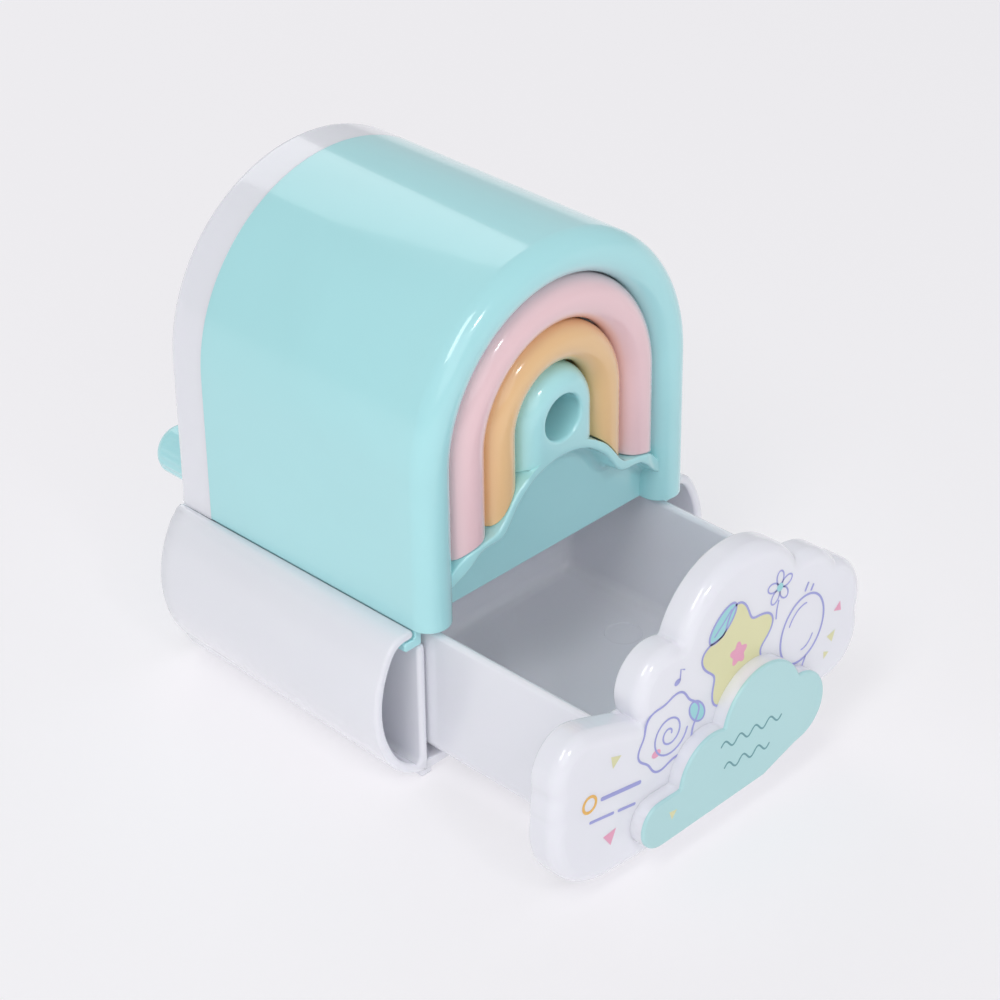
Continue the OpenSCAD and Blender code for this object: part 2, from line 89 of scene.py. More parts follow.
# the wings' sides close in towards the back, more and more over this stretch of X
WING_TURN = math.tan(math.radians(2.6))
TURN_FROM = 33.2
TURN_OVER = 4.0
# the crank's knob
KNOB_X = (KNOB_LO.x + KNOB_HI.x) / 2
KNOB_Z = (KNOB_LO.z + KNOB_HI.z) / 2
KNOB_R = (KNOB_HI.x - KNOB_LO.x) / 2


# ---- materials
def srgb(r, g, b):
    """The linear colour, with full alpha, of an 8-bit sRGB one."""

    def linear(value):
        value /= 255.0
        return value / 12.92 if value <= 0.04045 else ((value + 0.055) / 1.055) ** 2.4

    return (linear(r), linear(g), linear(b), 1.0)


def shaded(rgb, factor):
    """A colour made darker or lighter, with no channel past 1."""
    return [min(1, c * factor) for c in srgb(*rgb)[:3]] + [1]


class Look:
    """A material under construction: its surface, and the nodes that feed it."""

    def __init__(self, name):
        self.material = bpy.data.materials.new(name)
        self.material.use_nodes = True
        self.nodes = self.material.node_tree.nodes
        self.links = self.material.node_tree.links
        self.surface = self.nodes["Principled BSDF"]
        self.place = self.nodes.new("ShaderNodeTexCoord").outputs["Object"]

    def put(self, values):
        """Sets inputs of the surface by their names."""
        for name, value in values.items():
            self.surface.inputs[name].default_value = value

    def stretch(self, scale):
        """Stretches the noises that follow, by a factor for each axis."""
        mapping = self.nodes.new("ShaderNodeMapping")
        mapping.inputs["Scale"].default_value = scale
        self.links.new(self.place, mapping.inputs["Vector"])
        self.place = mapping.outputs["Vector"]

    def noise(self, scale, detail=2.0, distortion=0.0):
        texture = self.nodes.new("ShaderNodeTexNoise")
        texture.inputs["Scale"].default_value = scale
        texture.inputs["Detail"].default_value = detail
        texture.inputs["Distortion"].default_value = distortion
        self.links.new(self.place, texture.inputs["Vector"])
        return texture.outputs["Fac"]

    def colour(self, value, dark, light, ends=(0.0, 1.0)):
        """Colour that runs from dark to light with a noise."""
        ramp = self.nodes.new("ShaderNodeValToRGB")
        for element, position, colour in zip(ramp.color_ramp.elements, ends, (dark, light)):
            element.position = position
            element.color = colour
        self.links.new(value, ramp.inputs["Fac"])
        self.links.new(ramp.outputs["Color"], self.surface.inputs["Base Color"])

    def gloss(self, value, low, high):
        """Roughness that runs from low to high with a noise."""
        band = self.nodes.new("ShaderNodeMapRange")
        band.inputs["To Min"].default_value = low
        band.inputs["To Max"].default_value = high
        self.links.new(value, band.inputs["Value"])
        self.links.new(band.outputs["Result"], self.surface.inputs["Roughness"])

    def bump(self, value, strength, distance):
        bump = self.nodes.new("ShaderNodeBump")
        bump.inputs["Strength"].default_value = strength
        bump.inputs["Distance"].default_value = distance
        self.links.new(value, bump.inputs["Height"])
        self.links.new(bump.outputs["Normal"], self.surface.inputs["Normal"])


def plastic(name, rgb, rough, coat, vary, soft=0.0, grain=0.02):
    """Moulded plastic: faint flow marks in colour and gloss, and a very fine skin."""
    look = Look(name)
    flow = look.noise(38.0, 3.0, 0.6)
    look.colour(flow, shaded(rgb, 1 - vary), shaded(rgb, 1 + vary), (0.3, 0.7))
    look.gloss(look.noise(140.0, 4.0), rough * 0.85, rough * 1.2)
    look.bump(look.noise(900.0), grain, 0.0002)
    look.put({"Coat Weight": coat, "Coat Roughness": 0.05, "IOR": 1.5})
    if soft:
        look.put({"Subsurface Weight": soft, "Subsurface Scale": 0.003})
        look.put({"Subsurface Radius": (1.0, 0.9, 1.0)})
    return look.material


def ink(name, rgb, vary):
    """Printed ink: a thin matt film."""
    return plastic(name, rgb, rough=0.35, coat=0.1, vary=vary)


def metal(name, rgb, rough, streak, scale=400.0, bumpy=0.05):
    """Turned or drawn metal, with streaks stretched along one axis."""
    look = Look(name)
    look.stretch(streak)
    grain = look.noise(scale, 5.0)
    look.colour(grain, shaded(rgb, 0.85), shaded(rgb, 1.1))
    look.gloss(grain, rough * 0.8, rough * 1.3)
    look.bump(grain, bumpy, 0.0001)
    look.put({"Metallic": 1.0})
    return look.material


MINT = plastic("mint_moulding", (180, 237, 240), rough=0.16, coat=0.6, vary=0.015, soft=0.08)
MINT_FACE = plastic("mint_face", (184, 226, 227), rough=0.3, coat=0.2, vary=0.015)
WHITE = plastic("white_moulding", (241, 242, 249), rough=0.16, coat=0.5, vary=0.008, soft=0.3)
PINK = plastic("pink_moulding", (247, 210, 214), rough=0.15, coat=0.7, vary=0.02, soft=0.08)
APRICOT = plastic("apricot_moulding", (243, 201, 146), rough=0.15, coat=0.7, vary=0.02, soft=0.08)
NYLON = plastic("nylon", (224, 224, 218), rough=0.45, coat=0.0, vary=0.03, grain=0.08)
# teal nylon of the pencil guide, made darker than its own colour: painted shade for the inside of the
# bore
GUIDE_TEAL_WITH_BORE_SHADE = plastic("teal_nylon_painted_bore_shade", (62, 152, 158), rough=0.3, coat=0.1, vary=0.03)
STEEL = metal("steel", (196, 198, 202), 0.28, (1, 8, 1))
ZINC = metal("zinc", (160, 162, 166), 0.45, (1, 1, 1), 900.0, 0.2)
BRASS = metal("brass", (208, 178, 104), 0.3, (1, 6, 1))
INK_LILAC = ink("ink_lilac", (163, 166, 224), 0.05)
INK_YELLOW = ink("ink_yellow", (230, 228, 178), 0.03)
INK_MINT = ink("ink_mint", (160, 220, 224), 0.03)
INK_PINK = ink("ink_pink", (240, 168, 196), 0.04)
INK_ORANGE = ink("ink_orange", (242, 188, 92), 0.04)
INK_TEAL = ink("ink_teal", (104, 160, 166), 0.04)


# ---- mesh building
# points closer than this, in metres, become one
MERGE = 2e-6
# faces that meet at more than this angle keep a sharp edge
SHARP = 32.0


def new_mesh(name, build):
    """A mesh from collected points in millimetres and the faces between them."""
    mesh = bpy.data.meshes.new(name)
    mesh.from_pydata([(v[0] * MM, v[1] * MM, v[2] * MM) for v in build.points], [], build.faces)
    return mesh


def clean(mesh, merge):
    """Joins points that meet, if asked, and turns all faces outwards."""
    bm = bmesh.new()
    bm.from_mesh(mesh)
    if merge:
        bmesh.ops.remove_doubles(bm, verts=bm.verts, dist=MERGE)
    bmesh.ops.recalc_face_normals(bm, faces=bm.faces)
    bm.to_mesh(mesh)
    bm.free()


def smooth(mesh, angle):
    for face in mesh.polygons:
        face.use_smooth = True
    mesh.set_sharp_from_angle(angle=math.radians(angle))


def new_object(name, data):
    obj = bpy.data.objects.new(name, data)
    bpy.context.scene.collection.objects.link(obj)
    return obj


def weighted(obj):
    """Normals that keep flat faces flat beside rounded edges."""
    mod = obj.modifiers.new("normals", "WEIGHTED_NORMAL")
    mod.keep_sharp = True
    mod.weight = 50


def piece(name, build, mat, body, replaces=(), angle=SHARP):
    """A visible object that rides a body, in place of the CAD nodes that it replaces."""
    mesh = new_mesh(name, build)
    clean(mesh, merge=True)
    smooth(mesh, angle)
    mesh.materials.append(mat)
    obj = new_object(name, mesh)
    weighted(obj)
    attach(obj, body)
    if replaces:
        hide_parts(*replaces)
    return obj


class Build:
    """Collects points, in millimetres, and the faces between them."""

    def __init__(self):
        self.points = []
        self.faces = []

    def ring(self, points):
        """Adds a row of points and gives their numbers."""
        start = len(self.points)
        self.points.extend(points)
        return list(range(start, len(self.points)))

    def skin(self, a, b, closed=True):
        """Faces between two rows of the same length."""
        n = len(a)
        for i in range(n if closed else n - 1):
            j = (i + 1) % n
            self.faces.append((a[i], a[j], b[j], b[i]))

    def cap(self, row):
        self.faces.append(tuple(row))

    def loft(self, rings, closed=True, cap_start=False, cap_end=False):
        """Rows of points with faces from each one to the next."""
        ids = [self.ring(r) for r in rings]
        for a, b in zip(ids, ids[1:]):
            self.skin(a, b, closed)
        if cap_start:
            self.cap(ids[0])
        if cap_end:
            self.cap(ids[-1])
        return ids


def area(points):
    """Signed area inside a closed outline."""
    return sum(p[0] * q[1] - q[0] * p[1] for p, q in zip(points, points[1:] + points[:1])) / 2


def inward(points):
    """(x, z, nx, nz) for a closed outline, with normals that point into it."""
    n = len(points)
    sign = 1 if area(points) > 0 else -1
    out = []
    for i, p in enumerate(points):
        a, b = points[i - 1], points[(i + 1) % n]
        e1 = Vector((p[0] - a[0], p[1] - a[1])).normalized()
        e2 = Vector((b[0] - p[0], b[1] - p[1])).normalized()
        t = e1 + e2
        if t.length < 1e-6:
            t = e1
        t.normalize()
        out.append((p[0], p[1], -t.y * sign, t.x * sign))
    return out


def arc(cx, cz, r, a0, a1, n):
    """Points along an arc, with its angles in degrees."""
    angles = [math.radians(a0 + (a1 - a0) * i / n) for i in range(n + 1)]
    return [(cx + r * math.cos(a), cz + r * math.sin(a)) for a in angles]


def circle(cx, cy, r, n):
    turns = [2 * math.pi * k / n for k in range(n)]
    return [(cx + r * math.cos(a), cy + r * math.sin(a)) for a in turns]


def cylinder_rings(profile, x, z, n):
    """Rings of a turned shape about an axis along Y: profile of (radius, y)."""
    return [[(px, y, pz) for px, pz in circle(x, z, r, n)] for r, y in profile]


def round_steps(r, n):
    """(inset, depth) pairs of a quarter round, from the face to the side."""
    return [
        (r * (1 - math.sin(math.pi / 2 * k / n)), r * (1 - math.cos(math.pi / 2 * k / n)))
        for k in range(n + 1)
    ]


def slab_rings(outline, y_front, y_back, r_front, r_back, n):
    """Rings of an outline that runs along Y, rounded at both ends."""

    def at(inset, y):
        return [(x + nx * inset, y, z + nz * inset) for x, z, nx, nz in outline]

    rings = [at(i, y_front + d) for i, d in round_steps(r_front, n)]
    rings += [at(i, y_back - d) for i, d in reversed(round_steps(r_back, max(3, n // 2)))]
    return rings


def slab(build, points, y_front, y_back, r_front, r_back, n):
    """A closed block of an outline that runs along Y."""
    rings = slab_rings(inward(points), y_front, y_back, r_front, r_back, n)
    build.loft(rings, cap_start=True, cap_end=True)


def catmull(points, n):
    """A smooth curve through the points, with n steps between two of them."""
    out = []
    m = len(points)
    for i in range(m - 1):
        p1, p2 = Vector(points[i]), Vector(points[i + 1])
        p0 = Vector(points[i - 1]) if i else 2 * p1 - p2
        p3 = Vector(points[i + 2]) if i + 2 < m else 2 * p2 - p1
        for k in range(n):
            t = k / n
            out.append(
                0.5
                * (
                    2 * p1
                    + (p2 - p0) * t
                    + (2 * p0 - 5 * p1 + 4 * p2 - p3) * t * t
                    + (3 * p1 - p0 - 3 * p2 + p3) * t**3
                )
            )
    out.append(Vector(points[-1]))
    return out


def interp(table, x):
    """The value at x in a table of (x, value) rows."""
    if x <= table[0][0]:
        return table[0][1]
    for (x0, y0), (x1, y1) in zip(table, table[1:]):
        if x <= x1:
            return y0 + (y1 - y0) * (x - x0) / (x1 - x0)
    return table[-1][1]


def blur(values, width):
    """Gaussian smoothing of a closed list of numbers, width in samples."""
    k = int(width * 3) + 1
    w = [math.exp(-0.5 * (i / width) ** 2) for i in range(-k, k + 1)]
    total = sum(w)
    n = len(values)
    return [
        sum(w[j + k] * values[(i + j) % n] for j in range(-k, k + 1)) / total for i in range(n)
    ]


def farthest(lobes, lines, cx, cz, dx, dz):
    """How far the outermost circle or bar lies from a centre, in one direction."""
    best = 0.0
    for lx, lz, r in lobes:
        ox, oz = cx - lx, cz - lz
        b = ox * dx + oz * dz
        c = ox * ox + oz * oz - r * r
        if b * b > c:
            best = max(best, -b + math.sqrt(b * b - c))
    for (ax, az), (bx, bz) in lines:
        ex, ez = bx - ax, bz - az
        det = dx * ez - dz * ex
        if abs(det) > 1e-9:
            t = ((ax - cx) * ez - (az - cz) * ex) / det
            s = ((ax - cx) * dz - (az - cz) * dx) / det
            if t > 0 and 0 <= s <= 1:
                best = max(best, t)
    return best


def even_loop(pts, count):
    """A closed outline with its points evenly spaced."""
    n = len(pts)
    along = [0.0]
    for i in range(n):
        p, q = pts[i], pts[(i + 1) % n]
        along.append(along[-1] + math.hypot(q[0] - p[0], q[1] - p[1]))
    out, j = [], 0
    for i in range(count):
        s = along[-1] * i / count
        while along[j + 1] < s:
            j += 1
        f = (s - along[j]) / (along[j + 1] - along[j])
        p, q = pts[j], pts[(j + 1) % n]
        out.append((p[0] + (q[0] - p[0]) * f, p[1] + (q[1] - p[1]) * f))
    return out


def lobe_outline(lobes, lines, cx, cz, count, width):
    """Outline of joined circles and straight bars, seen from a centre, with its creases eased."""
    turns = [2 * math.pi * i / count for i in range(count)]
    radii = [farthest(lobes, lines, cx, cz, math.cos(a), math.sin(a)) for a in turns]
    eased = zip(blur(radii, width), turns)
    return even_loop([(cx + r * math.cos(a), cz + r * math.sin(a)) for r, a in eased], count)


def arch_rows(z_low, n_leg=6, n_arc=96):
    """(angle, centre height) along the arch, from the foot of the right leg to the left one's."""
    rows = [(0.0, z_low + (ARCH_Z - z_low) * k / n_leg) for k in range(n_leg)]
    rows += [(math.pi * k / n_arc, ARCH_Z) for k in range(n_arc + 1)]
    rows += [(math.pi, ARCH_Z - (ARCH_Z - z_low) * k / n_leg) for k in range(1, n_leg + 1)]
    return rows


def arch_point(r, y, phi, cz):
    return (r * math.cos(phi), y, cz + r * math.sin(phi))


def arch_outline(r, z_low, n_arc=96, n_leg=8, n_foot=8):
    """Closed outline of an arch on straight legs."""
    pts = [(-r + 2 * r * k / n_foot, z_low) for k in range(n_foot)]
    pts += [(r, z_low + (ARCH_Z - z_low) * k / n_leg) for k in range(n_leg)]
    pts += arc(0, ARCH_Z, r, 0, 180, n_arc)[:-1]
    pts += [(-r, ARCH_Z - (ARCH_Z - z_low) * k / n_leg) for k in range(n_leg)]
    return pts


# ---- housing shell
# a rail's section: a web and a foot turned outwards
RAIL = [
    (30.95, 32.6), (30.95, 28.7), (31.3, 28.35), (34.5, 28.35), (34.9, 28.7),
    (34.9, 29.6), (34.5, 30.0), (32.7, 30.05), (32.35, 30.4), (32.35, 32.6),
]


def bulkhead(build):
    """The wall across the housing's front, with a round opening behind the pencil hole."""
    outer = arch_outline(HALF_W - 1.2, HOUSE_Z + 0.6)
    hole = []
    for x, z in outer:
        a = math.atan2(z - ARCH_Z, x)
        hole.append((R_OPENING * math.cos(a), ARCH_Z + R_OPENING * math.sin(a)))
    front, back = BULK_FRONT, BULK_BACK
    loops = ((hole, front), (outer, front), (outer, back), (hole, back), (hole, front))
    build.loft([[(x, y, z) for x, z in loop] for loop, y in loops])


def housing_shell():
    build = Build()
    # section of the wall: along the outside, round the front rim and back along the inside
    section = [(HALF_W, SEAM_Y)]
    section += [(HALF_W, SEAM_Y - (SEAM_Y - ROLL_Y) * k / 12) for k in range(1, 12)]
    middle, rim = (HALF_W + R_RIM) / 2, (HALF_W - R_RIM) / 2
    section += [
        (middle + rim * math.cos(math.pi * k / 24), ROLL_Y - rim * math.sin(math.pi * k / 24))
        for k in range(25)
    ]
    section += [(R_RIM, RIM_BACK), (HALF_W - WALL, RIM_BACK), (HALF_W - WALL, SEAM_Y)]
    loop = inward(section)

    def ring(phi, cz, inset):
        return [arch_point(r + nr * inset, y + ny * inset, phi, cz) for r, y, nr, ny in loop]

    foot = 0.25
    steps = round_steps(foot, 4)[:-1]
    rings = [ring(0.0, HOUSE_Z + d, i) for i, d in steps]
    rings += [ring(phi, cz, 0) for phi, cz in arch_rows(HOUSE_Z + foot)]
    rings += [ring(math.pi, HOUSE_Z + d, i) for i, d in reversed(steps)]
    build.loft(rings, cap_start=True, cap_end=True)
    bulkhead(build)
    for side in (-1, 1):
        rail = [(side * x, z) for x, z in RAIL]
        slab(build, rail, BASE_LO.y - 0.1, SEAM_Y - 0.4, 0.3, 0.2, 3)
    piece("housing_shell_skin", build, MINT, "base", ["housing_shell"])


# ---- the wave
# right halves of the lip's upper and lower edge
WAVE_TOP = [
    (0.0, 55.2), (3.0, 55.0), (5.5, 54.4), (7.6, 53.4), (9.3, 52.3), (10.9, 51.1), (12.3, 49.6),
    (13.5, 48.0), (14.6, 46.6), (16.0, 45.4), (18.0, 44.9), (20.4, 44.6), (22.2, 44.1),
    (23.7, 43.1), (25.0, 41.9), (26.6, 40.2),
]
WAVE_LOW = [
    (0.0, 53.6), (2.4, 53.4), (4.5, 52.9), (6.6, 52.1), (8.3, 51.0), (9.8, 49.8), (11.1, 48.5),
    (12.3, 46.8), (13.4, 45.2), (14.7, 44.0), (16.2, 43.6), (18.2, 43.6), (19.8, 43.3),
    (21.3, 42.3), (22.7, 41.0), (24.1, 39.6), (25.4, 38.5), (26.6, 37.7),
]
# where the lip starts to step back beside the trims, over how much of X, and by how much
STEP_FROM = 21.0
STEP_OVER = 5.6
STEP_BACK = 1.35
# the lip's upper edge is sharp up to here, where the nose stands on it
NOSE_SIDE = 8.6
# from the lip's face to its hidden back
LIP_DEPTH = 5.0
# the round along the nose's side: its width, and how far its outer end lies back
NOSE_EDGE = 3.9
NOSE_DROP = 4.3


def mirrored(table):
    return [(-x, z) for x, z in reversed(table[1:])] + table


def resample(points, count):
    """The same open line with its points evenly spaced."""
    along = [0.0]
    for p, q in zip(points, points[1:]):
        along.append(along[-1] + (q - p).length)
    out, j = [], 0
    for i in range(count):
        s = along[-1] * i / (count - 1)
        while j < len(points) - 2 and along[j + 1] < s:
            j += 1
        f = (s - along[j]) / (along[j + 1] - along[j])
        out.append(points[j].lerp(points[j + 1], f))
    return out


def wave_line(table):
    return resample(catmull(mirrored(table), 8), 241)


def normals(line):
    """Normals of an open line, to its left."""
    out = []
    for i in range(len(line)):
        t = line[min(i + 1, len(line) - 1)] - line[max(i - 1, 0)]
        t.normalize()
        out.append(Vector((-t.y, t.x)))
    return out


def lip_front(x):
    """The face of the lip, which steps back beside the trims."""
    f = min(1.0, max(0.0, (abs(x) - STEP_FROM) / STEP_OVER))
    return FRONT_Y + STEP_BACK * f * f * (3 - 2 * f)


def wave_panel(build, top, low):
    """The lip along the wave, the soft hollow under it and the flat panel below."""
    rings = []
    # back of the lip's upper side, then over its rounded upper edge
    for drop, depth in ((0.0, LIP_DEPTH), (0.0, 0.42), (0.06, 0.2), (0.18, 0.06), (0.4, 0.0)):
        row = []
        for p, normal in zip(top, normals(top)):
            sharp = abs(p.x) <= NOSE_SIDE and depth < LIP_DEPTH
            q = p - normal * drop
            row.append((q.x, lip_front(p.x) + (0.0 if sharp else depth), q.y))
        rings.append(row)
    # lower edge: a small round, a wall with draft and a soft hollow into the panel
    wall = PANEL_Y - FRONT_Y
    hollow = 2.0
    profile = [(-0.42, 0.0), (-0.18, 0.05), (-0.05, 0.16), (0.0, 0.35), (0.18, wall * 0.45)]
    for k in range(9):
        a = math.pi / 2 * k / 8
        profile.append((0.3 + hollow * (1 - math.cos(a)), wall - hollow + hollow * math.sin(a)))
    on_lip = 0.4
    for delta, depth in profile:
        row = []
        for p, normal in zip(low, normals(low)):
            q = p - normal * delta
            y = lip_front(p.x) + depth
            if depth > on_lip:
                y = max(FRONT_Y + depth, lip_front(p.x) + on_lip)
            row.append((q.x, y, q.y))
        rings.append(row)
    # the flat panel, with a small round along its lower edge
    half = 26.2
    across = [x for x, y, z in rings[-1]]
    across[0], across[-1] = -half, half
    for y, rise in ((PANEL_Y, 0.35), (PANEL_Y + 0.1, 0.1), (PANEL_Y + 0.35, 0.02), (TRIM_BACK, 0.02)):
        rings.append([(x, y, HOUSE_Z + rise) for x in across])
    ids = build.loft(rings, closed=False)
    # the back and both ends
    build.skin(ids[-1], ids[0], closed=False)
    build.cap([row[0] for row in ids])
    build.cap([row[-1] for row in ids])


def spoke_reach(dx, dz, edge):
    """How far a spoke runs from the hole's centre: to the nose's side, or down to the wave's edge."""
    if dz >= 0:
        return R_NOSE
    near, far = 0.0, min(R_NOSE / max(abs(dx), 1e-6), 40)
    if ARCH_Z + dz * far >= interp(edge, dx * far):
        return far
    for _ in range(40):
        mid = (near + far) / 2
        if ARCH_Z + dz * mid < interp(edge, dx * mid):
            far = mid
        else:
            near = mid
    return far


def nose_front(x, z):
    """The nose's face: flat, and rounded towards its side. Its foot has no such round."""
    gap = R_NOSE - (math.hypot(x, z - ARCH_Z) if z > ARCH_Z else abs(x))
    f = 1 - max(0.0, gap) / NOSE_EDGE
    if f <= 0:
        return FRONT_Y
    return FRONT_Y + NOSE_DROP * (1 - math.sqrt(max(0.0, 1 - f * f)))


def nose(build, edge):
    """The nose as rings from the bore outwards, with its foot on the lip's upper edge."""
    angles, steps = 144, 28
    spokes = []
    for k in range(angles):
        a = 2 * math.pi * k / angles
        dx, dz = math.cos(a), math.sin(a)
        spokes.append((dx, dz, spoke_reach(dx, dz, edge)))

    def circle_at(r, y):
        return [(r * dx, y, ARCH_Z + r * dz) for dx, dz, reach in spokes]

    lip_r = 4.72
    rows = [circle_at(R_HOLE, BORE_END), circle_at(R_HOLE, -29.0)]
    for grow, depth in ((0.0, 0.9), (0.03, 0.55), (0.1, 0.28), (0.22, 0.1)):
        rows.append(circle_at(R_HOLE + grow, FRONT_Y + depth))
    rows.append(circle_at(lip_r, FRONT_Y))
    for k in range(1, steps + 1):
        f = 1 - (1 - k / steps) ** 1.5
        row = []
        for dx, dz, reach in spokes:
            r = lip_r + (reach - lip_r) * f
            x, z = r * dx, ARCH_Z + r * dz
            row.append((x, nose_front(x, z), z))
        rows.append(row)
    rows.append([(reach * dx, -26.0, ARCH_Z + reach * dz) for dx, dz, reach in spokes])
    rows.append(circle_at(R_HOLE, BORE_END))
    build.loft(rows)


def fascia():
    build = Build()
    top = wave_line(WAVE_TOP)
    wave_panel(build, top, wave_line(WAVE_LOW))
    nose(build, [(p.x, p.y) for p in top])
    piece("wave_fascia_skin", build, MINT, "base", ["wave_fascia"], angle=40)


# ---- trim arches
def trim_arch(name, node, r_in, r_out, set_back, gap, mat):
    """A half-round arch that stands on the wave, a small gap above it."""
    build = Build()
    middle, half_w = (r_in + r_out) / 2, (r_out - r_in) / 2
    steps = 20
    front = []
    for k in range(steps + 1):
        a = math.pi * k / steps
        front.append((middle + half_w * math.cos(a), ROLL_Y + set_back - half_w * math.sin(a)))
    section = front + [(r, TRIM_BACK) for r, y in reversed(front)]
    wave = [(p.x, p.y) for p in wave_line(WAVE_TOP)]

    def ring(sign, t, shrink):
        """A ring on a leg: t is 0 at the wave and 1 at the arch's spring."""
        out = []
        for r, y in section:
            x = middle + (r - middle) * (1 - shrink / half_w)
            z0 = interp(wave, x) + gap
            out.append((sign * x, TRIM_BACK + (y - TRIM_BACK) * (1 - shrink / 6), z0 + (ARCH_Z - z0) * t))
        return out

    foot = [(0.0, 0.5), (0.002, 0.3), (0.008, 0.12), (0.018, 0.03), (0.032, 0.0)]
    foot_end = foot[-1][0]
    legs = 7
    leg = [foot_end + (1 - foot_end) * k / legs for k in range(1, legs)]
    rings = [ring(1, t, shrink) for t, shrink in foot]
    rings += [ring(1, t, 0) for t in leg]
    rings += [[arch_point(r, y, math.pi * k / 96, ARCH_Z) for r, y in section] for k in range(97)]
    rings += [ring(-1, t, 0) for t in reversed(leg)]
    rings += [ring(-1, t, shrink) for t, shrink in reversed(foot)]
    ids = build.loft(rings)
    # both feet are closed with quads between the front and the back of the section
    n = len(section)
    for end in (ids[0], ids[-1]):
        for k in range(steps):
            build.faces.append((end[k], end[k + 1], end[n - 2 - k], end[n - 1 - k]))
    piece(name, build, mat, "base", [node])


# ---- rear cover
def drilled(obj, holes):
    """Cuts round holes along Y: (x, z, radius, y from, y to)."""
    build = Build()
    for x, z, r, y0, y1 in holes:
        build.loft(cylinder_rings([(r, y0), (r, y1)], x, z, 40), cap_start=True, cap_end=True)
    mesh = new_mesh("cutter", build)
    clean(mesh, merge=False)
    tool = new_object("cutter", mesh)
    obj.modifiers.clear()
    mod = obj.modifiers.new("cut", "BOOLEAN")
    mod.operation = "DIFFERENCE"
    mod.solver = "EXACT"
    mod.object = tool
    bpy.context.view_layer.update()
    evaluated = obj.evaluated_get(bpy.context.evaluated_depsgraph_get())
    cut = bpy.data.meshes.new_from_object(evaluated)
    obj.modifiers.remove(mod)
    cut.name = obj.data.name + "_cut"
    obj.data = cut
    bpy.data.objects.remove(tool)
    smooth(cut, SHARP)
    weighted(obj)


def rear_cover():
    build = Build()
    outline = inward(arch_outline(HALF_W, HOUSE_Z, 96, 10, 24))
    ids = build.loft(slab_rings(outline, SEAM_Y, REAR_Y, 0.12, 1.9, 8))
    build.cap(ids[-1])
    # inside of the cover
    inner = arch_outline(HALF_W - WALL, HOUSE_Z + 1.6, 96, 10, 24)
    back = build.ring([(x, REAR_Y - WALL, z) for x, z in inner])
    front = build.ring([(x, SEAM_Y, z) for x, z in inner])
    build.skin(ids[0], front)
    build.skin(front, back)
    build.cap(back)
    obj = piece("rear_cover_skin", build, WHITE, "base", ["rear_cover"])
    # the four screws' recesses, and the hole that holds the rear bush
    screw_r, screw_depth = 2.9, 5.2
    beyond = REAR_Y + 3
    spots = [(27.6, 41), (-27.6, 41), (21, 79), (-21, 79)]
    holes = [(x, z, screw_r, REAR_Y - screw_depth, beyond) for x, z in spots]
    holes.append((0, ARCH_Z, BUSH_HI.x - 1.55, REAR_Y - 4, beyond))
    drilled(obj, holes)


# ---- base
# centres (x, z) of the three rounds of a wing's outside, from its lip to its foot
SHOULDER = (34.5, 27)
BULGE = (20, 18.2)
HEEL = (28.66, 13.2)


def wing_profile():
    """Closed outline of one wing's wall: lip, bulge, underside and inner wall."""
    # the outside: from the lip's end over the bulge to the foot
    pts = arc(33.4, 31.1, 0.9, 180, 90, 6)
    pts += arc(*SHOULDER, 5, 90, 31, 12)
    pts += arc(*BULGE, 22, 31, -30, 26)[1:]
    pts += arc(*HEEL, 12, -30, -77, 14)[1:]
    pts += arc(30.8, 2.05, 0.8, 262, 180, 6)
    # the wall beside the drawer, up, over its rounded top and down inside
    pts += [(30.0, 6), (30.0, 12), (30.0, 18), (30.0, 24)]
    pts += arc(30.85, 27.15, 0.85, 180, 0, 8)
    pts += [(31.7, 24), (31.7, 18), (31.7, 12), (31.7, 6)]
    # the inside: from the foot's corner back up to the lip
    pts += arc(32.9, 4.75, 1.2, 180, 254, 6)
    pts += arc(*HEEL, 10.2, -63, -30, 10)
    pts += arc(*BULGE, 20.2, -30, 31, 26)[1:]
    pts += arc(*SHOULDER, 3.2, 31, 90, 10)[1:]
    pts += arc(33.4, 31.1, 0.9, 270, 180, 6)[:-1]
    return pts


def closed_in(x, depth):
    """How far the wings' outside has come in at x, this far behind the base's front."""
    return min(1.0, max(0.0, (abs(x) - TURN_FROM) / TURN_OVER)) * WING_TURN * depth


def skid(build, x, y_front, y_back):
    """A rib under the base, which carries it on the table."""
    section = [(-1.25, 1.9), (-1.25, 0.25), (-1, 0), (1, 0), (1.25, 0.25), (1.25, 1.9)]
    # drawn from the middle of the base outwards
    outwards = math.copysign(1, x)
    slab(build, [(x + outwards * dx, z) for dx, z in section], y_front, y_back, 0.5, 0.5, 3)


def wing(build, side):
    outline = inward([(side * x, z) for x, z in wing_profile()])
    y0, y1 = BASE_LO.y, BASE_HI.y
    front_r, back_r = 0.72, 1.3

    def at(inset, y, outer_only=False):
        out = []
        for x, z, nx, nz in outline:
            e = inset
            # at the back only the outside is rounded
            if outer_only and not (nx * side < 0.25 and abs(x) > 32):
                e = min(inset, 0.25)
            x_in = x + nx * e
            out.append((x_in - side * closed_in(x_in, y - y0), y, z + nz * e))
        return out

    rings = [at(i, y0 + d) for i, d in round_steps(front_r, 6)]
    for k in range(1, 13):
        rings.append(at(0, y0 + front_r + (y1 - back_r - y0 - front_r) * k / 13))
    rings += [at(i, y1 - d, True) for i, d in reversed(round_steps(back_r, 5)[2:])]
    build.loft(rings, cap_start=True, cap_end=True)
    skid(build, side * 30.05, y0 + 0.4, y1 - 1.2)


